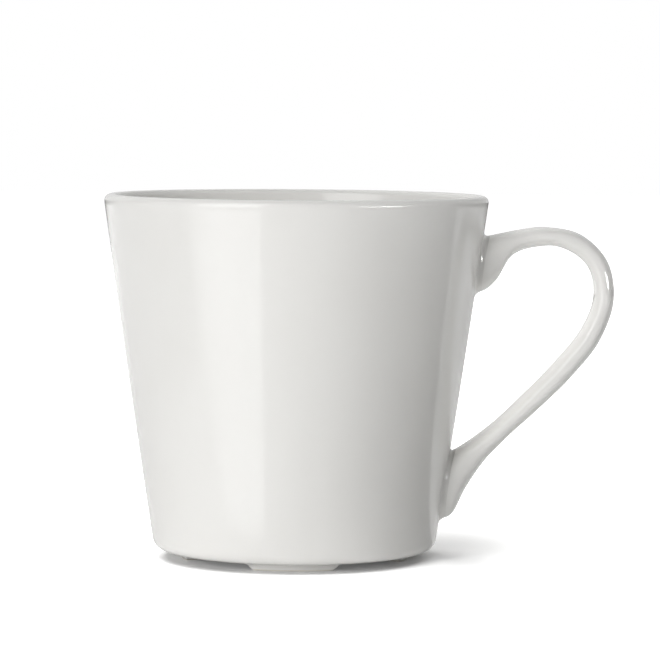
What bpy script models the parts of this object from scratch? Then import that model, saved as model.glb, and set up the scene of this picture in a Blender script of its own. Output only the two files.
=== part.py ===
"""Ceramic mug: a turned cup body, a strap handle and the two slip joints that hold it on.

The four pieces are separate solids. Units are metres, +Z is up, the handle points along +X and
the foot ring stands on Z = 0. The origin is the middle of the mug's footprint, handle included,
so the cup's own axis stands a little way along -X.
"""
import math

import bmesh
import bpy

MM = 0.001

# Cup body
RIM_RADIUS = 47.5 * MM          # outer radius just under the lip, the widest place
CUP_HEIGHT = 90.0 * MM
WALL_THICKNESS = 3.1 * MM
LIP_RADIUS = WALL_THICKNESS / 2
WALL_SLOPE = 0.138              # inward lean of the wall at the lip
WALL_CURVE = 0.1                # extra lean per metre of depth, squared, so the wall bows slightly
BASE_CORNER_RADIUS = 3.15 * MM
FLOOR_HEIGHT = 7.0 * MM         # top of the floor inside the cup
INNER_CORNER_RADIUS = 9.0 * MM

# Foot ring, drained by four notches midway between the handle's line and the crosswise line
FOOT_HEIGHT = 2.1 * MM
FOOT_OUTER_RADIUS = 28.9 * MM
FOOT_INNER_RADIUS = 24.6 * MM
FOOT_EDGE_DRAFT = 0.8 * MM      # how far each side leans in on its way down to the flat
FOOT_BEND_DRAFT = 0.32 * MM     # how much of that comes above the bend in the side
FOOT_BEND_HEIGHT = 0.525 * MM
UNDERSIDE_RISE = 0.9 * MM       # how much higher the recessed middle is than the body above the ring
UNDERSIDE_SHAPE = ((1.0, 0.6), (0.5, 0.9), (0.0, 1.0))  # shares of the inner radius and the rise
NOTCH_COUNT = 4
NOTCH_DEPTH = 1.8 * MM
NOTCH_WIDTH = 24.4 * MM         # across the mouth of a notch, on the table
NOTCH_END_SLOPE = 1.25          # sideways run of a notch's end for its rise
NOTCH_OVERRUN = 5.0 * MM        # how far its cutter runs past the ring, inside and outside
NOTCH_BELOW = 1.0 * MM          # how far its cutter goes under the table

# Handle: sections of the strap from the upper joint round to the lower joint, in millimetres.
# Each has its outer point (X from the cup's axis, Z), its inner point, and its width along Y.
HANDLE_SECTIONS = (
    (43.0, 79.2, 41.0, 65.4, 14.5),     # buried in the wall, where the seat is cut
    (47.6, 80.2, 46.8, 66.8, 14.5),
    (51.4, 81.0, 49.4, 69.1, 13.5),     # heel of the upper joint
    (56.0, 81.9, 53.2, 75.2, 12.0),
    (62.0, 82.4, 61.8, 77.8, 11.0),     # crown of the arch
    (70.0, 80.8, 67.6, 76.5, 11.0),
    (76.7, 74.6, 72.3, 72.4, 11.0),
    (78.7, 65.0, 73.7, 65.3, 11.0),     # furthest from the cup
    (75.6, 54.9, 70.9, 57.5, 11.0),
    (68.7, 45.7, 64.7, 49.5, 11.0),
    (60.0, 37.0, 56.3, 40.7, 11.0),     # straight run back to the wall
    (51.7, 29.3, 48.3, 33.1, 11.5),
    (46.0, 23.0, 42.6, 28.8, 13.0),
    (42.3, 17.3, 40.4, 27.4, 14.5),
    (38.8, 10.8, 38.6, 26.4, 15.5),     # heel of the lower joint
    (34.5, 9.5, 35.6, 24.6, 15.5),      # buried in the wall
)
SECTION_STEPS = 3               # rings lofted for each row of the table
SECTION_POINTS = 20
SECTION_SQUARENESS = 2.5        # 2 is an ellipse, more is nearer a rounded box

# Slip joints between the handle and the wall
GAP = 0.3 * MM                  # left open on both sides of each joint
SLIP_THICKNESS = 0.6 * MM
SLIP_MARGIN = 0.8 * MM          # how far the slip squeezes out round the handle's end

# Glaze and slip, as linear colour and roughness
GLAZE_WHITE = (0.84, 0.83, 0.80)
GLAZE_ROUGHNESS = 0.12
SLIP_WHITE = (0.80, 0.79, 0.76)
SLIP_ROUGHNESS = 0.25

# How finely the surfaces are divided
TURN_STEPS = 80
WALL_RINGS = 10
INNER_CORNER_STEPS = 6
LIP_STEPS = 8
BASE_CORNER_STEPS = 5
SHARP_ANGLE = math.radians(40)
WELD_DISTANCE = 0.01 * MM


# ---------------------------------------------------------------- scene helpers

def clear_scene():
    for item in list(bpy.data.objects):
        bpy.data.objects.remove(item, do_unlink=True)


def new_collection(name):
    collection = bpy.data.collections.new(name)
    bpy.context.scene.collection.children.link(collection)
    return collection


def new_object(name, mesh, collection, parent):
    item = bpy.data.objects.new(name, mesh)
    collection.objects.link(item)
    item.parent = parent
    return item


def make_cutter(item):
    item.hide_render = True
    item.display_type = 'WIRE'
    return item


def ceramic_material(name, color, roughness):
    material = bpy.data.materials.new(name)
    material.use_nodes = True
    shader = material.node_tree.nodes["Principled BSDF"]
    shader.inputs["Base Color"].default_value = (*color, 1.0)
    shader.inputs["Roughness"].default_value = roughness
    shader.inputs["Metallic"].default_value = 0.0
    return material


def add_boolean(item, cutter, operation):
    boolean = item.modifiers.new(cutter.name, 'BOOLEAN')
    boolean.operation = operation
    boolean.solver = 'EXACT'
    boolean.object = cutter


# ---------------------------------------------------------------- turned shapes

def arc(centre, radius, start, end, steps):
    """Points (r, z) along a circle, from the angle start to the angle end in degrees."""
    points = []
    for index in range(steps + 1):
        angle = math.radians(start + (end - start) * index / steps)
        points.append((centre[0] + radius * math.cos(angle), centre[1] + radius * math.sin(angle)))
    return points


def wall_radius(z):
    """Outer radius of the cup's wall at the height z."""
    depth = CUP_HEIGHT - LIP_RADIUS - z
    return RIM_RADIUS - WALL_SLOPE * depth - WALL_CURVE * depth * depth


def wall_points(low, high, offset):
    """Points up the wall's outer face from low to high, moved outwards by offset."""
    heights = [low + (high - low) * index / WALL_RINGS for index in range(WALL_RINGS + 1)]
    return [(wall_radius(z) + offset, z) for z in heights]


def corner_centre(floor, radius, offset):
    """Centre, and lean in degrees, of a corner that rounds a floor into the wall."""
    lean = math.atan(WALL_SLOPE + 2 * WALL_CURVE * (CUP_HEIGHT - floor - radius))
    touch = floor + radius - radius * math.sin(lean)
    centre_r = wall_radius(touch) + offset - radius * math.cos(lean)
    return (centre_r, floor + radius), math.degrees(lean)


def cup_profile():
    """Section of the cup, up its inside, over the lip and down its outside to the axis."""
    inner, inner_lean = corner_centre(FLOOR_HEIGHT, INNER_CORNER_RADIUS, -WALL_THICKNESS)
    outer, outer_lean = corner_centre(FOOT_HEIGHT, BASE_CORNER_RADIUS, 0.0)
    lip = (RIM_RADIUS - LIP_RADIUS, CUP_HEIGHT - LIP_RADIUS)

    inner_corner = arc(inner, INNER_CORNER_RADIUS, -90, -inner_lean, INNER_CORNER_STEPS)
    lip_round = arc(lip, LIP_RADIUS, 180, 0, LIP_STEPS)
    outer_corner = arc(outer, BASE_CORNER_RADIUS, -outer_lean, -90, BASE_CORNER_STEPS)
    inner_wall = wall_points(inner_corner[-1][1], lip[1], -WALL_THICKNESS)
    outer_wall = wall_points(outer_corner[0][1], lip[1], 0.0)
    outer_wall.reverse()
    foot_ring = [
        (FOOT_OUTER_RADIUS, FOOT_HEIGHT),
        (FOOT_OUTER_RADIUS - FOOT_BEND_DRAFT, FOOT_BEND_HEIGHT),
        (FOOT_OUTER_RADIUS - FOOT_EDGE_DRAFT, 0.0),
        (FOOT_INNER_RADIUS + FOOT_EDGE_DRAFT, 0.0),
        (FOOT_INNER_RADIUS + FOOT_BEND_DRAFT, FOOT_BEND_HEIGHT),
    ]
    underside = [(FOOT_INNER_RADIUS * reach, FOOT_HEIGHT + UNDERSIDE_RISE * rise)
                 for reach, rise in UNDERSIDE_SHAPE]
    profile = [(0.0, FLOOR_HEIGHT)]
    profile += inner_corner + inner_wall[1:-1] + lip_round + outer_wall[1:-1] + outer_corner
    return profile + foot_ring + underside


def turned_object(name, profile, closed, collection, parent):
    """A profile of (r, z) points turned about the Z axis by a Screw modifier."""
    edges = [(index, index + 1) for index in range(len(profile) - 1)]
    if closed:
        edges.append((len(profile) - 1, 0))
    mesh = bpy.data.meshes.new(name)
    mesh.from_pydata([(r, 0.0, z) for r, z in profile], edges, [])
    item = new_object(name, mesh, collection, parent)
    screw = item.modifiers.new("turn", 'SCREW')
    screw.axis = 'Z'
    screw.angle = math.tau
    screw.steps = TURN_STEPS
    screw.render_steps = TURN_STEPS
    screw.use_merge_vertices = True
    screw.merge_threshold = WELD_DISTANCE
    screw.use_smooth_shade = True
    return item


# ---------------------------------------------------------------- foot notches

def notch_cutter(index, collection, parent):
    """A tapered bar across the foot ring, wider at the table than at the notch's top."""
    far, near = FOOT_OUTER_RADIUS + NOTCH_OVERRUN, FOOT_INNER_RADIUS - NOTCH_OVERRUN
    bar = bmesh.new()
    bmesh.ops.create_cube(bar, size=1.0)
    for vertex in bar.verts:
        z = NOTCH_DEPTH if vertex.co.z > 0 else -NOTCH_BELOW
        half_width = NOTCH_WIDTH / 2 - NOTCH_END_SLOPE * z
        vertex.co.x = far if vertex.co.x > 0 else near
        vertex.co.y = math.copysign(half_width, vertex.co.y)
        vertex.co.z = z
    mesh = bpy.data.meshes.new("foot_notch_cutter")
    bar.to_mesh(mesh)
    bar.free()
    cutter = new_object(f"foot_notch_cutter_{index + 1}", mesh, collection, parent)
    cutter.rotation_euler.z = math.tau * (index + 0.5) / NOTCH_COUNT
    return make_cutter(cutter)


# ---------------------------------------------------------------- handle

def smooth_sections(rows, steps):
    """Sections on a smooth curve through the rows, with slopes that allow for uneven spacing."""
    middles = [((row[0] + row[2]) / 2, (row[1] + row[3]) / 2) for row in rows]
    spans = [math.dist(middles[i], middles[i + 1]) for i in range(len(rows) - 1)]
    rates = [[(b - a) / span for a, b in zip(rows[i], rows[i + 1])] for i, span in enumerate(spans)]
    slopes = [rates[0]]
    for i in range(1, len(rows) - 1):
        total = spans[i - 1] + spans[i]
        slopes.append([(before * spans[i] + after * spans[i - 1]) / total
                       for before, after in zip(rates[i - 1], rates[i])])
    slopes.append(rates[-1])

    sections = []
    for i, span in enumerate(spans):
        for step in range(steps):
            t = step / steps
            start = 2 * t**3 - 3 * t**2 + 1
            leave = (t**3 - 2 * t**2 + t) * span
            arrive = (t**3 - t**2) * span
            sections.append([
                start * a + (1 - start) * b + leave * slope_a + arrive * slope_b
                for a, b, slope_a, slope_b in zip(rows[i], rows[i + 1], slopes[i], slopes[i + 1])
            ])
    sections.append(list(rows[-1]))
    return sections


def section_ring(section):
    """Points round one section, a rounded box between its outer and its inner point."""
    outer_x, outer_z, inner_x, inner_z, width = section
    points = []
    for index in range(SECTION_POINTS):
        angle = math.tau * index / SECTION_POINTS
        across = math.copysign(abs(math.cos(angle)) ** (2 / SECTION_SQUARENESS), math.cos(angle))
        along_y = math.copysign(abs(math.sin(angle)) ** (2 / SECTION_SQUARENESS), math.sin(angle))
        x = (outer_x + inner_x) / 2 + across * (outer_x - inner_x) / 2
        z = (outer_z + inner_z) / 2 + across * (outer_z - inner_z) / 2
        points.append((x * MM, along_y * width / 2 * MM, z * MM))
    return points


def loft_object(name, sections, collection, parent):
    """A closed solid through the sections' rings, with flat ends."""
    body = bmesh.new()
    rings = [[body.verts.new(point) for point in section_ring(section)] for section in sections]
    for ring, next_ring in zip(rings, rings[1:]):
        for index in range(SECTION_POINTS):
            after = (index + 1) % SECTION_POINTS
            body.faces.new((ring[index], ring[after], next_ring[after], next_ring[index]))
    body.faces.new(rings[0])
    body.faces.new(rings[-1])
    bmesh.ops.recalc_face_normals(body, faces=body.faces)
    mesh = bpy.data.meshes.new(name)
    body.to_mesh(mesh)
    body.free()
    mesh.shade_smooth()
    mesh.set_sharp_from_angle(angle=SHARP_ANGLE)
    return new_object(name, mesh, collection, parent)


def grown_section(section, margin):
    """A section moved out by margin, in millimetres, at both points and on both sides."""
    outer_x, outer_z, inner_x, inner_z, width = section
    length = math.dist((outer_x, outer_z), (inner_x, inner_z))
    step_x = (outer_x - inner_x) / length * margin
    step_z = (outer_z - inner_z) / length * margin
    return (outer_x + step_x, outer_z + step_z, inner_x - step_x, inner_z - step_z, width + 2 * margin)


# ---------------------------------------------------------------- seats on the wall

def wall_seat_cutter(collection, parent):
    """A turned solid that fills the cup and its wall out to where the handle's ends are cut."""
    low, high = FOOT_HEIGHT, CUP_HEIGHT
    offset = 2 * GAP + SLIP_THICKNESS
    side = wall_points(low, high, offset)
    side.reverse()
    profile = [(0.0, high)] + side + [(0.0, low)]
    return make_cutter(turned_object("wall_seat_cutter", profile, False, collection, parent))


def slip_layer_cutter(collection, parent):
    """A turned sleeve as thick as the slip, lying clear of the wall by the gap."""
    low, high = FOOT_HEIGHT, CUP_HEIGHT
    outside = wall_points(low, high, GAP + SLIP_THICKNESS)
    outside.reverse()
    profile = outside + wall_points(low, high, GAP)
    return make_cutter(turned_object("slip_layer_cutter", profile, True, collection, parent))


def slip_joint(name, end_rows, slip_layer, collection, parent):
    """The slip under one end of the handle: the end's outline, grown, out of the slip layer."""
    margin = SLIP_MARGIN / MM
    sections = [grown_section(row, margin) for row in end_rows]
    joint = loft_object(name, sections, collection, parent)
    add_boolean(joint, slip_layer, 'INTERSECT')
    return joint


# ---------------------------------------------------------------- assembly

def build_mug():
    clear_scene()
    parts = new_collection("ceramic_mug")
    cutters = new_collection("cutters")

    sections = smooth_sections(HANDLE_SECTIONS, SECTION_STEPS)
    handle_reach = max(section[0] for section in sections) * MM
    cup_axis = bpy.data.objects.new("cup_axis", None)
    cup_axis.location.x = -(handle_reach - RIM_RADIUS) / 2
    parts.objects.link(cup_axis)

    cup_body = turned_object("cup_body", cup_profile(), False, parts, cup_axis)
    for index in range(NOTCH_COUNT):
        add_boolean(cup_body, notch_cutter(index, cutters, cup_axis), 'DIFFERENCE')

    handle = loft_object("handle", sections, parts, cup_axis)
    add_boolean(handle, wall_seat_cutter(cutters, cup_axis), 'DIFFERENCE')

    slip_layer = slip_layer_cutter(cutters, cup_axis)
    upper_slip = slip_joint("upper_slip_joint", HANDLE_SECTIONS[:2], slip_layer, parts, cup_axis)
    lower_slip = slip_joint("lower_slip_joint", HANDLE_SECTIONS[-2:], slip_layer, parts, cup_axis)

    cup_body.data.materials.append(ceramic_material("cup_glaze", GLAZE_WHITE, GLAZE_ROUGHNESS))
    handle.data.materials.append(ceramic_material("handle_glaze", GLAZE_WHITE, GLAZE_ROUGHNESS))
    upper_slip.data.materials.append(ceramic_material("upper_slip", SLIP_WHITE, SLIP_ROUGHNESS))
    lower_slip.data.materials.append(ceramic_material("lower_slip", SLIP_WHITE, SLIP_ROUGHNESS))


build_mug()
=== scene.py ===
"""Looks for the ceramic mug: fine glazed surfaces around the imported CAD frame.

The cup, the handle and the two slip fillets are built here as smooth closed meshes that stand for
the CAD nodes of the same pieces. Lengths are in metres. Points written (r, z) are measured from
the cup's own axis, which the frame gives.
"""
import math

import bpy
import numpy as np
from mathutils import Matrix, Vector


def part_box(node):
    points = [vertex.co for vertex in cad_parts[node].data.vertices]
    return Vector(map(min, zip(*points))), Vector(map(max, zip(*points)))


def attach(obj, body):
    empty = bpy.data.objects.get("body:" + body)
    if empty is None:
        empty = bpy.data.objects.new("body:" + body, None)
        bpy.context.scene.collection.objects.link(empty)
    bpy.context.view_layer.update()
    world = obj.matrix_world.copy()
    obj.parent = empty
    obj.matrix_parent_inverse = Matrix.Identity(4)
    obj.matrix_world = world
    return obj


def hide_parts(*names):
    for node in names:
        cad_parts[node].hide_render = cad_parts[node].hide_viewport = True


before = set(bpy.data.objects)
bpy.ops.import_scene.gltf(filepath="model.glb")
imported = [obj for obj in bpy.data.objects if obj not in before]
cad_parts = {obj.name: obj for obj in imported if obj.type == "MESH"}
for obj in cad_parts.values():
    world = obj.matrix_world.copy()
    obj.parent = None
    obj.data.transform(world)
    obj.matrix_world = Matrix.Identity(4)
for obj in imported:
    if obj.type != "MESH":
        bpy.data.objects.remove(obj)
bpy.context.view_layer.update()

MM = 0.001
BODY = "root"
cup_low, cup_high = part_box("cup_body")
CUP_AXIS = Vector(((cup_low.x + cup_high.x) / 2, (cup_low.y + cup_high.y) / 2, 0.0))

# ---------------------------------------------------------------- sizes, as in the CAD model

CUP_HEIGHT = cup_high.z
RIM_RADIUS = (cup_high.x - cup_low.x) / 2
WALL_THICKNESS = 3.1 * MM
LIP_RADIUS = WALL_THICKNESS / 2
WALL_SLOPE = 0.138              # inward lean of the wall at the lip
WALL_CURVE = 0.1                # extra lean per metre of depth, squared
BASE_CORNER_RADIUS = 3.15 * MM
FLOOR_HEIGHT = 7.0 * MM
INNER_CORNER_RADIUS = 9.0 * MM

FOOT_HEIGHT = 2.1 * MM
FOOT_OUTER_RADIUS = 28.9 * MM
FOOT_INNER_RADIUS = 24.6 * MM
FOOT_EDGE_DRAFT = 0.8 * MM
UNDERSIDE_RISE = 0.9 * MM
UNDERSIDE_RIM_SHARE = 0.6       # how much of that rise comes at the foot ring
NOTCH_COUNT = 4
NOTCH_DEPTH = 1.8 * MM
NOTCH_WIDTH = 24.4 * MM
NOTCH_END_SLOPE = 1.25

# Sections of the strap, in millimetres: outer point (X from the cup's axis, Z), inner point, width.
HANDLE_SECTIONS = (
    (43.0, 79.2, 41.0, 65.4, 14.5),
    (47.6, 80.2, 46.8, 66.8, 14.5),
    (51.4, 81.0, 49.4, 69.1, 13.5),
    (56.0, 81.9, 53.2, 75.2, 12.0),
    (62.0, 82.4, 61.8, 77.8, 11.0),
    (70.0, 80.8, 67.6, 76.5, 11.0),
    (76.7, 74.6, 72.3, 72.4, 11.0),
    (78.7, 65.0, 73.7, 65.3, 11.0),
    (75.6, 54.9, 70.9, 57.5, 11.0),
    (68.7, 45.7, 64.7, 49.5, 11.0),
    (60.0, 37.0, 56.3, 40.7, 11.0),
    (51.7, 29.3, 48.3, 33.1, 11.5),
    (46.0, 23.0, 42.6, 28.8, 13.0),
    (42.3, 17.3, 40.4, 27.4, 14.5),
    (38.8, 10.8, 38.6, 26.4, 15.5),
    (34.5, 9.5, 35.6, 24.6, 15.5),
)
SECTION_SQUARENESS = 2.5        # 2 is an ellipse, more is nearer a rounded box

# ---------------------------------------------------------------- finer shape, only in the looks

# The foot ring's rounded edges, and the hollow where it leaves the underside
FOOT_EDGE_ROUND = 0.45 * MM
FOOT_EDGE_INSET = 0.135 * MM    # from the flat's edge to the middle of that round
FOOT_ROOT_ROUND = 0.5 * MM
FOOT_SIDE_LEAN = 10             # degrees
FOOT_ZONE_RADIUS = FOOT_OUTER_RADIUS + 1.0 * MM
NOTCH_BLEND_START = 0.2         # a notch's end, in runs of its slope: where it starts and its length
NOTCH_BLEND_LENGTH = 1.4

# The strap's ends, and the fillets of slip from the wall to the strap
HANDLE_END_DEPTH = 0.5 * MM
HANDLE_SHARP_ANGLE = 50
FILLET_ON_HANDLE = 1.6 * MM
FILLET_ON_WALL = 1.3 * MM
FILLET_PULL = 0.62              # how far its curve is drawn into the corner
FILLET_HEEL_SINK = 0.12         # its hidden back: shares of the way to its middle
FILLET_FOOT_SINK = 0.25
FILLET_DEEP = 1.0 * MM          # and depths in the wall
FILLET_SHALLOW = 0.4 * MM
FILLET_SHARP_ANGLE = 35

# How finely the surfaces are divided
TURN_STEPS = 384
FLOOR_SHARES = (0.02, 0.3, 0.6, 0.85)
INNER_CORNER_STEPS = 16
INNER_WALL_STEPS = 40
LIP_STEPS = 24
OUTER_WALL_STEPS = 60
BASE_CORNER_STEPS = 14
FOOT_ROOT_STEPS = 6
FOOT_EDGE_STEPS = 7
FOOT_FLAT_SHARES = (0.3, 0.5, 0.7)
UNDERSIDE_SHARES = (0.9, 0.75, 0.5, 0.25, 0.02)
SECTION_STEPS = 14
SECTION_POINTS = 96
FILLET_ROWS = 12

# ---------------------------------------------------------------- glaze, clay and floor

# Colours are linear. A noise is its scale and its detail.
GLAZE_TINTS = ((0.80, 0.79, 0.765, 1), (0.83, 0.825, 0.805, 1))
GLAZE_ROUGHNESS = (0.05, 0.09)
GLAZE_IOR = 1.5
# Painted shade: the slip fillets darken to this colour in tight corners, within this reach
CREASE_SHADE_COLOUR = (0.36, 0.35, 0.33, 1)
CREASE_SHADE_REACH = 5.0 * MM
CLAY_TINTS = ((0.66, 0.62, 0.55, 1), (0.78, 0.75, 0.69, 1))
CLAY_ROUGHNESS = 0.7
WIPED_HEIGHT = 0.3 * MM         # how far up the foot ring the clay is bare
WIPED_BLEND = 1.5               # the glaze is whole at this many times that height
CLOUD_NOISE = (38.0, 3.0)
WAVE_NOISE = (55.0, 1.0)
WAVE_DEPTH = 0.05 * MM
PEEL_NOISE = (900.0, 2.0)
PEEL_DEPTH = 0.002 * MM
GRAIN_NOISE = (1400.0, 4.0)

FLOOR_HALF = 3.0
# Painted shadow: the floor goes from its paint, the second tone, to the first tone near the mug, within
# the reach below
FLOOR_PAINT_AND_SHADE = ((0.80, 0.80, 0.80, 1), (0.92, 0.92, 0.915, 1))
FLOOR_SHADE_REACH = 40 * MM
FLOOR_ROUGHNESS = 0.6
FLOOR_SPECULAR = 0.2

# ---------------------------------------------------------------- the studio

# Painted glow: the camera sees the floor glow to plain white, except over its shadow on the right and
# only faintly over the dark under the mug
SHADOW_MIDDLE = Vector((36.0, 22.0, 0.0)) * MM
SHADOW_SQUASH = (0.5, 0.35, 1.0)
SHADOW_RADII = (0.0, 26.0 * MM)
CONTACT_GLOW = 0.1
CONTACT_RADII = (31.0 * MM, 38.5 * MM)

# Painted light: a glow in the floor round the base, which only diffuse rays see, lights the base
BOUNCE_GLOW = 0.2
BOUNCE_RADII = (40.0 * MM, 62.0 * MM)

# A light is a name, an azimuth (0 in front, + to the right), an elevation and a power in watts. The
# glaze doesn't mirror the lights: it mirrors the floor, and the surroundings and the cards, which are
# painted reflections.
LIGHT_DISTANCE = 1.3
LIGHT_MIDDLE_HEIGHT = 30 * MM
LIGHT_AIM_HEIGHT = 40 * MM
SOFT_BOX = (0.55, 0.5)
STUDIO_LIGHTS = (
    ("front_low", -30, 12, 9.8),
    ("left_back", -150, 38, 11.0),
    ("overhead", 0, 64, 2.5),
    ("right_high", 90, 64, 2.5),
    ("right_back", 120, 38, 2.4),
)

# A card is a name, its near edge and its far edge, each from left to right in millimetres from the
# cup's axis, the glow that it adds to the floor's own from left to right, and how much of that is left
# from near to far. The cards are painted reflections, seen only in the glaze and lighting nothing: a
# window, its image on the table, the shaded table by the handle, the lit table behind it, and a small
# lamp whose image is a painted highlight on the lip.
FLOOR_REFLECTION_GLOW = 0.9
# Painted reflection: the surroundings glow grey only in the glaze
SURROUNDINGS_REFLECTION_GLOW = 0.7
CARDS = (
    ("window_on_table",
     ((-42, -50, 0.3), (-15, -53, 0.3)), ((-396, -218, 0.3), (-136, -386, 0.3)),
     (0.2, 0.7, 1.0, 1.3, 1.4, 1.3, 1.6, 1.2), (0.6, 1.0, 1.0, 1.0, 1.0, 1.0, 1.0)),
    ("far_left_table",
     ((-150, 60, 0.3), (-150, -80, 0.3)), ((-700, 300, 0.3), (-440, -232, 0.3)),
     (-0.2, -0.2, -0.6, -0.9, -0.9), (0.0, 0.8, 1.0, 1.0)),
    ("window",
     ((-640, -370, 0), (-230, -690, 0)), ((-640, -370, 900), (-230, -690, 900)),
     (2.0, 2.6, 2.6, 2.0), (1.0, 1.0, 1.0)),
    ("shaded_table",
     ((8, -46, 0.3), (44, 12, 0.3)), ((120, -480, 0.3), (466, 160, 0.3)),
     (0.0, -0.4, -0.9, -0.9, -0.9, -0.8), (0.8, 1.0, 1.0, 0.85, 0.5)),
    ("lit_table",
     ((235, 70, 0.3), (60, 300, 0.3)), ((900, 312, 0.3), (100, 1300, 0.3)),
     (0.4, 0.2, -0.2, -0.3, -0.3), (0.6, 0.8, 1.0)),
    ("small_lamp",
     ((554, -709, 60), (809, -394, 60)), ((554, -709, 180), (809, -394, 180)),
     (24.0, 24.0), (1.0, 1.0)),
)

# A long lens a little above the rim, to the right of the cup's axis, rolled slightly. Angles in degrees.
CAMERA_PLACE = Vector((8.5, -860.0, 116.0)) * MM
CAMERA_PITCH = 3.96             # down from level
CAMERA_ROLL = 0.42
CAMERA_SENSOR = 36.0
CAMERA_LENS = 189.65
CAMERA_CLIP_START = 0.01


# ---------------------------------------------------------------- meshes

def mesh_object(name, points, faces, sharp_angle=None):
    mesh = bpy.data.meshes.new(name)
    mesh.from_pydata([tuple(point) for point in points], [], faces)
    mesh.validate()
    mesh.shade_smooth()
    if sharp_angle is not None:
        mesh.set_sharp_from_angle(angle=math.radians(sharp_angle))
    piece = bpy.data.objects.new(name, mesh)
    bpy.context.scene.collection.objects.link(piece)
    return piece


def grid_faces(rows, columns):
    """Quads of a grid that closes on itself sideways."""
    faces = []
    for row in range(rows - 1):
        here = row * columns
        for column in range(columns):
            after = (column + 1) % columns
            faces.append((here + column, here + after, here + columns + after, here + columns + column))
    return faces


def arc(centre, radius, start, end, steps):
    """Points (r, z) along a circle, from the angle start to the angle end in degrees."""
    points = []
    for index in range(steps + 1):
        angle = math.radians(start + (end - start) * index / steps)
        points.append((centre[0] + radius * math.cos(angle), centre[1] + radius * math.sin(angle)))
    return points


def wall_radius(z):
    """Outer radius of the cup's wall at the height z, or at each of an array of heights."""
    depth = CUP_HEIGHT - LIP_RADIUS - z
    return RIM_RADIUS - WALL_SLOPE * depth - WALL_CURVE * depth * depth


def wall_points(low, high, offset, steps):
    """Points up the wall from low to high, moved outwards by offset."""
    heights = [low + (high - low) * index / steps for index in range(steps + 1)]
    return [(wall_radius(z) + offset, z) for z in heights]


def corner_centre(floor, radius, offset):
    """Centre, and lean in degrees, of a corner that rounds a floor into the wall."""
    lean = math.atan(WALL_SLOPE + 2 * WALL_CURVE * (CUP_HEIGHT - floor - radius))
    touch = floor + radius - radius * math.sin(lean)
    centre_r = wall_radius(touch) + offset - radius * math.cos(lean)
    return (centre_r, floor + radius), math.degrees(lean)


# ---------------------------------------------------------------- cup

def foot_rows():
    """Rows (r, z) down the foot ring's outer side, across its flat and up to the underside's middle."""
    flat_outer = FOOT_OUTER_RADIUS - FOOT_EDGE_DRAFT
    flat_inner = FOOT_INNER_RADIUS + FOOT_EDGE_DRAFT
    inner_top = FOOT_HEIGHT + UNDERSIDE_RISE * UNDERSIDE_RIM_SHARE
    outer_root = (FOOT_OUTER_RADIUS + FOOT_ROOT_ROUND, FOOT_HEIGHT - FOOT_ROOT_ROUND)
    outer_edge = (flat_outer - FOOT_EDGE_INSET, FOOT_EDGE_ROUND)
    inner_edge = (flat_inner + FOOT_EDGE_INSET, FOOT_EDGE_ROUND)
    inner_root = (FOOT_INNER_RADIUS - FOOT_ROOT_ROUND, inner_top - FOOT_ROOT_ROUND)

    rows = arc(outer_root, FOOT_ROOT_ROUND, 90, 180 - FOOT_SIDE_LEAN, FOOT_ROOT_STEPS)
    rows += arc(outer_edge, FOOT_EDGE_ROUND, -FOOT_SIDE_LEAN, -90, FOOT_EDGE_STEPS)
    rows += [(flat_outer * (1 - share) + flat_inner * share, 0.0) for share in FOOT_FLAT_SHARES]
    rows += arc(inner_edge, FOOT_EDGE_ROUND, -90, FOOT_SIDE_LEAN - 180, FOOT_EDGE_STEPS)
    rows += arc(inner_root, FOOT_ROOT_ROUND, FOOT_SIDE_LEAN, 90, FOOT_ROOT_STEPS)
    left_to_rise = FOOT_HEIGHT + UNDERSIDE_RISE - inner_top
    for share in UNDERSIDE_SHARES:
        rows.append((FOOT_INNER_RADIUS * share, inner_top + left_to_rise * (1 - share ** 2)))
    return rows


def cup_rows():
    """Rows (r, z) of the cup, up its inside, over the lip and down its outside to the axis."""
    inner, inner_lean = corner_centre(FLOOR_HEIGHT, INNER_CORNER_RADIUS, -WALL_THICKNESS)
    outer, outer_lean = corner_centre(FOOT_HEIGHT, BASE_CORNER_RADIUS, 0.0)
    lip = (RIM_RADIUS - LIP_RADIUS, CUP_HEIGHT - LIP_RADIUS)

    floor = [(inner[0] * share, FLOOR_HEIGHT) for share in FLOOR_SHARES]
    inner_corner = arc(inner, INNER_CORNER_RADIUS, -90, -inner_lean, INNER_CORNER_STEPS)
    inner_wall = wall_points(inner_corner[-1][1], lip[1], -WALL_THICKNESS, INNER_WALL_STEPS)
    lip_round = arc(lip, LIP_RADIUS, 180, 0, LIP_STEPS)
    outer_corner = arc(outer, BASE_CORNER_RADIUS, -outer_lean, -90, BASE_CORNER_STEPS)
    outer_wall = wall_points(outer_corner[0][1], lip[1], 0.0, OUTER_WALL_STEPS)
    outer_wall.reverse()
    rows = floor + inner_corner + inner_wall[1:-1] + lip_round + outer_wall[1:-1] + outer_corner
    return rows + foot_rows()


def smooth_step(value):
    value = min(1.0, max(0.0, value))
    return value * value * (3 - 2 * value)


def notch_share(angle):
    """How far the foot ring is cut away at an angle round it, from 0 to 1."""
    spacing = math.tau / NOTCH_COUNT
    from_notch = abs((angle % spacing) - spacing / 2)
    half_width = math.asin(NOTCH_WIDTH / 2 / FOOT_OUTER_RADIUS)
    run = NOTCH_DEPTH * NOTCH_END_SLOPE / FOOT_OUTER_RADIUS
    return smooth_step((half_width + run * NOTCH_BLEND_START - from_notch) / (run * NOTCH_BLEND_LENGTH))


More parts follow.
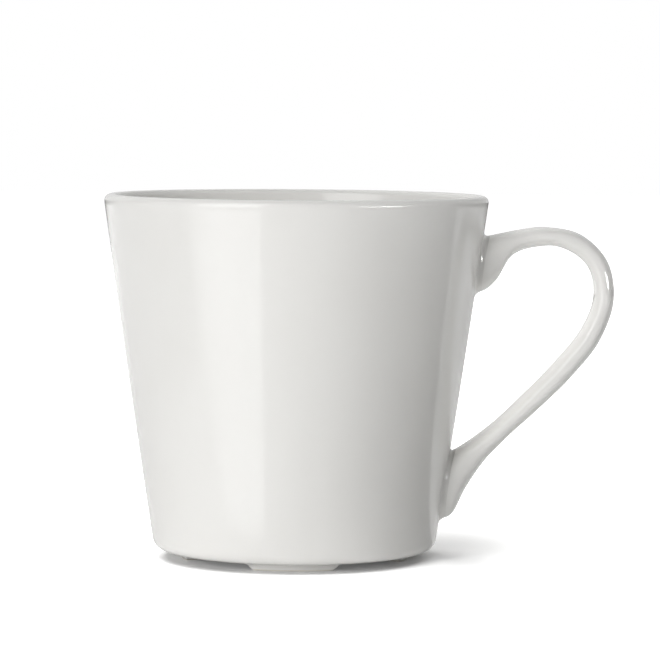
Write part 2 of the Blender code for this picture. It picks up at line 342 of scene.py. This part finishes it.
def build_cup():
    rows = cup_rows()
    points = []
    for r, z in rows:
        on_foot = r < FOOT_ZONE_RADIUS and z < FOOT_HEIGHT
        for step in range(TURN_STEPS):
            angle = math.tau * step / TURN_STEPS
            height = z
            if on_foot:
                height = z + (FOOT_HEIGHT - z) * notch_share(angle) * NOTCH_DEPTH / FOOT_HEIGHT
            points.append((CUP_AXIS.x + r * math.cos(angle), CUP_AXIS.y + r * math.sin(angle), height))
    faces = grid_faces(len(rows), TURN_STEPS)
    floor_centre = len(points)
    points.append((CUP_AXIS.x, CUP_AXIS.y, rows[0][1]))
    under_centre = len(points)
    points.append((CUP_AXIS.x, CUP_AXIS.y, rows[-1][1]))
    last = (len(rows) - 1) * TURN_STEPS
    for step in range(TURN_STEPS):
        after = (step + 1) % TURN_STEPS
        faces.append((floor_centre, after, step))
        faces.append((under_centre, last + step, last + after))
    faces = [tuple(reversed(face)) for face in faces]
    return mesh_object("glazed_cup", points, faces)


# ---------------------------------------------------------------- handle and its fillets

def smooth_sections(rows, steps):
    """Sections on a smooth curve through the rows, with slopes that allow for uneven spacing."""
    rows = np.array(rows, float)
    middles = (rows[:, 0:2] + rows[:, 2:4]) / 2
    spans = np.linalg.norm(np.diff(middles, axis=0), axis=1)[:, None]
    rates = np.diff(rows, axis=0) / spans
    slopes = np.vstack([
        rates[:1],
        (rates[:-1] * spans[1:] + rates[1:] * spans[:-1]) / (spans[:-1] + spans[1:]),
        rates[-1:],
    ])
    sections = []
    for index in range(len(spans)):
        for t in np.arange(steps) / steps:
            start = 2 * t**3 - 3 * t**2 + 1
            leave = (t**3 - 2 * t**2 + t) * spans[index]
            arrive = (t**3 - t**2) * spans[index]
            sections.append(start * rows[index] + (1 - start) * rows[index + 1]
                            + leave * slopes[index] + arrive * slopes[index + 1])
    sections.append(rows[-1])
    return np.array(sections)


def section_rings(sections):
    """Points of every section's ring, as an array of rings by columns by (x, y, z) in metres."""
    angle = np.arange(SECTION_POINTS) * math.tau / SECTION_POINTS
    power = 2 / SECTION_SQUARENESS
    across = np.sign(np.cos(angle)) * np.abs(np.cos(angle)) ** power
    sideways = np.sign(np.sin(angle)) * np.abs(np.sin(angle)) ** power
    rings = np.zeros((len(sections), SECTION_POINTS, 3))
    for index, (outer_x, outer_z, inner_x, inner_z, width) in enumerate(sections):
        rings[index, :, 0] = (outer_x + inner_x) / 2 + across * (outer_x - inner_x) / 2
        rings[index, :, 1] = sideways * width / 2
        rings[index, :, 2] = (outer_z + inner_z) / 2 + across * (outer_z - inner_z) / 2
    return rings * MM


def wall_distance(points):
    """How far points are outside the cup's wall, measured level."""
    return np.hypot(points[..., 0], points[..., 1]) - wall_radius(points[..., 2])


def wall_normals(points):
    """Outward normals of the cup's wall at points on it."""
    normals = points * np.array([1.0, 1.0, 0.0])
    normals /= np.linalg.norm(normals, axis=1)[:, None]
    normals[:, 2] = -(WALL_SLOPE + 2 * WALL_CURVE * (CUP_HEIGHT - LIP_RADIUS - points[:, 2]))
    return normals / np.linalg.norm(normals, axis=1)[:, None]


def on_wall(points):
    """Points moved level on to the cup's wall."""
    moved = points.copy()
    level = np.hypot(points[:, 0], points[:, 1])
    share = 1 - wall_distance(points) / level
    moved[:, 0] *= share
    moved[:, 1] *= share
    return moved


def along_column(column, start, reach):
    """The point a given way along a column of points from a fractional place, and the way it runs."""
    index = int(start)
    here = column[index] + (column[index + 1] - column[index]) * (start - index)
    walked = 0.0
    step = index + 1
    while True:
        length = float(np.linalg.norm(column[step] - here))
        if walked + length >= reach:
            direction = (column[step] - here) / length
            return here + direction * (reach - walked), direction
        walked += length
        here = column[step]
        step += 1


def fillet_ends(rings):
    """Where each column of the rings comes out of the wall, its fillet's heel, and the way it runs."""
    seats, heels, headings = [], [], []
    for column in range(SECTION_POINTS):
        line = rings[:, column]
        distance = wall_distance(line)
        crossing = int(np.argmax(distance > 0)) - 1
        share = distance[crossing] / (distance[crossing] - distance[crossing + 1])
        seats.append(line[crossing] + (line[crossing + 1] - line[crossing]) * share)
        heel, heading = along_column(line, crossing + share, FILLET_ON_HANDLE)
        heels.append(heel)
        headings.append(heading)
    return np.array(seats), np.array(heels), np.array(headings)


def fillet_rows(rings):
    """Rows of the fillet at the first end of the rings, from the wall out, and the wall's normals."""
    seats, heels, headings = fillet_ends(rings)
    normals = wall_normals(seats)
    run = np.roll(seats, -1, axis=0) - np.roll(seats, 1, axis=0)
    outward = np.cross(run, normals)
    outward /= np.linalg.norm(outward, axis=1)[:, None]
    from_middle = seats - seats.mean(axis=0)
    if (outward * from_middle).sum() < 0:
        outward = -outward
    feet = on_wall(seats + outward * FILLET_ON_WALL)

    wall_pull = feet - outward * FILLET_ON_WALL * FILLET_PULL
    heel_pull = heels - headings * FILLET_ON_HANDLE * FILLET_PULL
    rows = []
    for t in np.linspace(0, 1, FILLET_ROWS + 1):
        rows.append((1 - t) ** 3 * feet + 3 * (1 - t) ** 2 * t * wall_pull
                    + 3 * (1 - t) * t * t * heel_pull + t**3 * heels)
    return rows, normals


def build_fillet(name, rings):
    """A closed collar of slip: its curved outside, then back underneath in the wall and handle."""
    rows, normals = fillet_rows(rings)
    foot, heel = rows[0], rows[-1]
    buried_heel = heel + (heel.mean(axis=0) - heel) * FILLET_HEEL_SINK
    buried_foot = foot + (foot.mean(axis=0) - foot) * FILLET_FOOT_SINK - normals * FILLET_DEEP
    rows = rows + [buried_heel, buried_foot, foot - normals * FILLET_SHALLOW]
    points = np.concatenate(rows) + np.array(CUP_AXIS)
    faces = grid_faces(len(rows), SECTION_POINTS)
    last = (len(rows) - 1) * SECTION_POINTS
    for column in range(SECTION_POINTS):
        after = (column + 1) % SECTION_POINTS
        faces.append((last + column, last + after, after, column))
    return mesh_object(name, points, faces, FILLET_SHARP_ANGLE)


def build_handle(rings):
    """The strap itself, its ends a little way inside the wall."""
    keep = [index for index in range(len(rings)) if wall_distance(rings[index]).max() > -HANDLE_END_DEPTH]
    rings = rings[keep]
    points = np.concatenate(rings) + np.array(CUP_AXIS)
    faces = grid_faces(len(rings), SECTION_POINTS)
    faces.append(tuple(range(SECTION_POINTS)))
    last = (len(rings) - 1) * SECTION_POINTS
    faces.append(tuple(reversed(range(last, last + SECTION_POINTS))))
    return mesh_object("strap_handle", points, faces, HANDLE_SHARP_ANGLE)


# ---------------------------------------------------------------- materials

class Nodes:
    """The nodes of one new material, with short ways to add them and join them up."""

    def __init__(self, name):
        self.material = bpy.data.materials.new(name)
        self.material.use_nodes = True
        self.tree = self.material.node_tree
        self.shader = self.tree.nodes["Principled BSDF"]
        self.place = self.add("ShaderNodeTexCoord").outputs["Object"]

    def feed(self, node, inputs):
        """Links each named input to a socket, or gives it a value."""
        for name, source in inputs.items():
            if isinstance(source, bpy.types.NodeSocket):
                self.tree.links.new(source, node.inputs[name])
            else:
                node.inputs[name].default_value = source

    def add(self, kind, inputs=None, **settings):
        node = self.tree.nodes.new(kind)
        for name, value in settings.items():
            setattr(node, name, value)
        self.feed(node, inputs or {})
        return node

    def noise(self, scale_and_detail):
        scale, detail = scale_and_detail
        inputs = {"Vector": self.place, "Scale": scale, "Detail": detail}
        return self.add("ShaderNodeTexNoise", inputs).outputs["Fac"]

    def mix(self, factor, start, end, data_type='RGBA'):
        inputs = {"Factor": factor, "A": start, "B": end}
        return self.add("ShaderNodeMix", inputs, data_type=data_type).outputs["Result"]

    def ramp(self, value, between, ends, interpolation='LINEAR'):
        """A value carried from the range between to the range ends, and held past them."""
        inputs = {"Value": value, "From Min": between[0], "From Max": between[1],
                  "To Min": ends[0], "To Max": ends[1]}
        return self.add("ShaderNodeMapRange", inputs, interpolation_type=interpolation).outputs["Result"]

    def math(self, operation, *values):
        return self.add("ShaderNodeMath", dict(enumerate(values)), operation=operation).outputs["Value"]

    def vector_math(self, operation, output, *values):
        node = self.add("ShaderNodeVectorMath", dict(enumerate(values)), operation=operation)
        return node.outputs[output]

    def open_share(self, reach):
        """How open the surface is, from 0 in a tight corner to 1 where nothing is within reach."""
        return self.add("ShaderNodeAmbientOcclusion", {"Distance": reach}).outputs["AO"]

    def ring_ramp(self, middle, squash, radii, ends):
        """A value that runs smoothly between two distances from a middle, given from the cup's axis."""
        offset = self.vector_math('SUBTRACT', "Vector", self.place, CUP_AXIS + middle)
        scaled = self.vector_math('MULTIPLY', "Vector", offset, squash)
        length = self.vector_math('LENGTH', "Value", scaled)
        return self.ramp(length, radii, ends, 'SMOOTHSTEP')


def glaze_normal(nodes):
    """The glaze's slow waves with fine orange peel on them."""
    waves = nodes.add("ShaderNodeBump", {
        "Strength": 1.0, "Distance": WAVE_DEPTH, "Height": nodes.noise(WAVE_NOISE)})
    peel = nodes.add("ShaderNodeBump", {
        "Strength": 1.0, "Distance": PEEL_DEPTH, "Height": nodes.noise(PEEL_NOISE),
        "Normal": waves.outputs["Normal"]})
    return peel.outputs["Normal"]


def porcelain(name, crease_shade=None):
    """White porcelain under a clear gloss glaze, bare and matt where the foot was wiped.

    Where a crease shade colour is given, the glaze darkens to it in tight corners: painted shade in the
    creases.
    """
    nodes = Nodes(name)
    cloud = nodes.noise(CLOUD_NOISE)
    glaze = nodes.mix(cloud, *GLAZE_TINTS)
    if crease_shade is not None:
        # Painted shade in the creases: darker where the surface is closed in
        glaze = nodes.mix(nodes.open_share(CREASE_SHADE_REACH), crease_shade, glaze)
    gloss = nodes.ramp(cloud, (0.0, 1.0), GLAZE_ROUGHNESS)
    clay = nodes.mix(nodes.noise(GRAIN_NOISE), *CLAY_TINTS)
    height = nodes.add("ShaderNodeSeparateXYZ", {"Vector": nodes.place}).outputs["Z"]
    glazed = nodes.ramp(height, (WIPED_HEIGHT, WIPED_HEIGHT * WIPED_BLEND), (0.0, 1.0))
    nodes.feed(nodes.shader, {
        "Base Color": nodes.mix(glazed, clay, glaze),
        "Roughness": nodes.mix(glazed, CLAY_ROUGHNESS, gloss, 'FLOAT'),
        "Normal": glaze_normal(nodes),
        "IOR": GLAZE_IOR,
    })
    return nodes.material


def floor_material():
    """A pale floor with painted shade beside the mug, and a painted glow by which the camera sees it fade
    to plain white.

    A ring of it round the mug glows, painted light that lights the base, and only diffuse rays see that.
    """
    nodes = Nodes("pale_floor")
    cup_middle, round_ring = Vector((0, 0, 0)), (1, 1, 1)
    shadow = nodes.ring_ramp(SHADOW_MIDDLE, SHADOW_SQUASH, SHADOW_RADII, (0.0, 1.0))
    contact = nodes.ring_ramp(cup_middle, round_ring, CONTACT_RADII, (CONTACT_GLOW, 1.0))
    bounce = nodes.ring_ramp(cup_middle, round_ring, BOUNCE_RADII, (BOUNCE_GLOW, 0.0))
    # Painted glow: white for the camera away from the kept shadow, and the ring's glow on the base for
    # diffuse rays
    rays = nodes.add("ShaderNodeLightPath")
    seen = nodes.math('MULTIPLY', shadow, rays.outputs["Is Camera Ray"])
    lit = nodes.math('MULTIPLY_ADD', bounce, rays.outputs["Is Diffuse Ray"], seen)
    nodes.feed(nodes.shader, {
        # Painted shadow: the floor's paint is darker where the mug closes it in
        "Base Color": nodes.mix(nodes.open_share(FLOOR_SHADE_REACH), *FLOOR_PAINT_AND_SHADE),
        "Roughness": FLOOR_ROUGHNESS,
        "Specular IOR Level": FLOOR_SPECULAR,
        "Emission Color": (1, 1, 1, 1),
        "Emission Strength": nodes.math('MULTIPLY', lit, contact),
    })
    return nodes.material


def card_material():
    """Glows as strongly as each point's own glow says: a painted reflection, seen only in the glaze."""
    material = bpy.data.materials.new("reflection_card")
    material.use_nodes = True
    tree = material.node_tree
    emission = tree.nodes.new("ShaderNodeEmission")
    glow = tree.nodes.new("ShaderNodeAttribute")
    glow.attribute_name = "glow"
    tree.links.new(glow.outputs["Fac"], emission.inputs["Strength"])
    tree.links.new(emission.outputs["Emission"], tree.nodes["Material Output"].inputs["Surface"])
    return material


# ---------------------------------------------------------------- stage, light and camera

def build_floor():
    corners = [(-FLOOR_HALF, -FLOOR_HALF, 0), (FLOOR_HALF, -FLOOR_HALF, 0),
               (FLOOR_HALF, FLOOR_HALF, 0), (-FLOOR_HALF, FLOOR_HALF, 0)]
    floor = mesh_object("floor", corners, [(0, 1, 2, 3)])
    floor.data.materials.append(floor_material())


def build_card(name, near, far, across, along, material):
    """One card as a grid of points, its rows in steps that widen from the near edge to the far one."""
    points, glow = [], []
    for row, left_over in enumerate(along):
        outwards = (row / (len(along) - 1)) ** 2
        left, right = [Vector(near[side]).lerp(Vector(far[side]), outwards) for side in (0, 1)]
        for column, extra in enumerate(across):
            points.append(CUP_AXIS + left.lerp(right, column / (len(across) - 1)) * MM)
            glow.append(max(0.0, FLOOR_REFLECTION_GLOW + extra * left_over))
    faces = []
    for row in range(len(along) - 1):
        for column in range(len(across) - 1):
            here = row * len(across) + column
            faces.append((here, here + 1, here + len(across) + 1, here + len(across)))
    card = mesh_object(name, points, faces)
    card.data.attributes.new("glow", 'FLOAT', 'POINT').data.foreach_set("value", glow)
    card.data.materials.append(material)
    # Painted reflection: the card shows only in reflections and lights nothing
    card.visible_camera = False
    card.visible_diffuse = False
    card.visible_shadow = False


def build_light(name, azimuth, elevation, power):
    """A soft box on a sphere round the mug, turned to face it."""
    turn, lift = math.radians(azimuth), math.radians(elevation)
    level = LIGHT_DISTANCE * math.cos(lift)
    place = Vector((level * math.sin(turn), -level * math.cos(turn),
                    LIGHT_DISTANCE * math.sin(lift) + LIGHT_MIDDLE_HEIGHT))
    data = bpy.data.lights.new(name, 'AREA')
    data.shape = 'RECTANGLE'
    data.size, data.size_y = SOFT_BOX
    data.energy = power
    lamp = bpy.data.objects.new(name, data)
    bpy.context.scene.collection.objects.link(lamp)
    lamp.location = place
    lamp.rotation_euler = (Vector((0, 0, LIGHT_AIM_HEIGHT)) - place).to_track_quat('-Z', 'Y').to_euler()
    lamp.visible_glossy = False


def build_world():
    """White where the camera looks past the floor, a painted grey reflection in the glaze, and no light
    of its own.
    """
    world = bpy.data.worlds.new("studio")
    bpy.context.scene.world = world
    world.use_nodes = True
    tree = world.node_tree
    background = tree.nodes["Background"]
    background.inputs["Color"].default_value = (1, 1, 1, 1)
    rays = tree.nodes.new("ShaderNodeLightPath")
    strength = tree.nodes.new("ShaderNodeMath")
    strength.operation = 'MULTIPLY_ADD'
    strength.inputs[1].default_value = SURROUNDINGS_REFLECTION_GLOW
    tree.links.new(rays.outputs["Is Glossy Ray"], strength.inputs[0])
    tree.links.new(rays.outputs["Is Camera Ray"], strength.inputs[2])
    tree.links.new(strength.outputs["Value"], background.inputs["Strength"])


def build_camera():
    data = bpy.data.cameras.new("camera")
    data.sensor_width = CAMERA_SENSOR
    data.lens = CAMERA_LENS
    data.clip_start = CAMERA_CLIP_START
    camera = bpy.data.objects.new("camera", data)
    bpy.context.scene.collection.objects.link(camera)
    pitch = Matrix.Rotation(math.radians(90 - CAMERA_PITCH), 4, 'X')
    roll = Matrix.Rotation(math.radians(CAMERA_ROLL), 4, 'Z')
    camera.matrix_world = Matrix.Translation(CUP_AXIS + CAMERA_PLACE) @ pitch @ roll
    bpy.context.scene.camera = camera


# ---------------------------------------------------------------- assembly

def place_piece(piece, material, slot, *nodes):
    piece.data.materials.append(material)
    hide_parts(*nodes)
    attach(piece, BODY)


build_camera()
build_floor()
# Painted reflections: cards seen only in the glaze
reflection_card = card_material()
for card in CARDS:
    build_card(*card, reflection_card)
for light in STUDIO_LIGHTS:
    build_light(*light)
build_world()
bpy.context.scene.view_settings.view_transform = 'Standard'

rings = section_rings(smooth_sections(HANDLE_SECTIONS, SECTION_STEPS))
# The fillets' glaze carries painted shade in the creases
slip_glaze_crease_shade = porcelain("slip_glaze_crease_shade", CREASE_SHADE_COLOUR)
place_piece(build_cup(), porcelain("cup_glaze"), "cup_glaze", "cup_body")
place_piece(build_handle(rings), porcelain("handle_glaze"), "handle_glaze", "handle")
place_piece(build_fillet("upper_joint_fillet", rings), slip_glaze_crease_shade, "slip", "upper_slip_joint")
place_piece(build_fillet("lower_joint_fillet", rings[::-1]), slip_glaze_crease_shade, "slip", "lower_slip_joint")
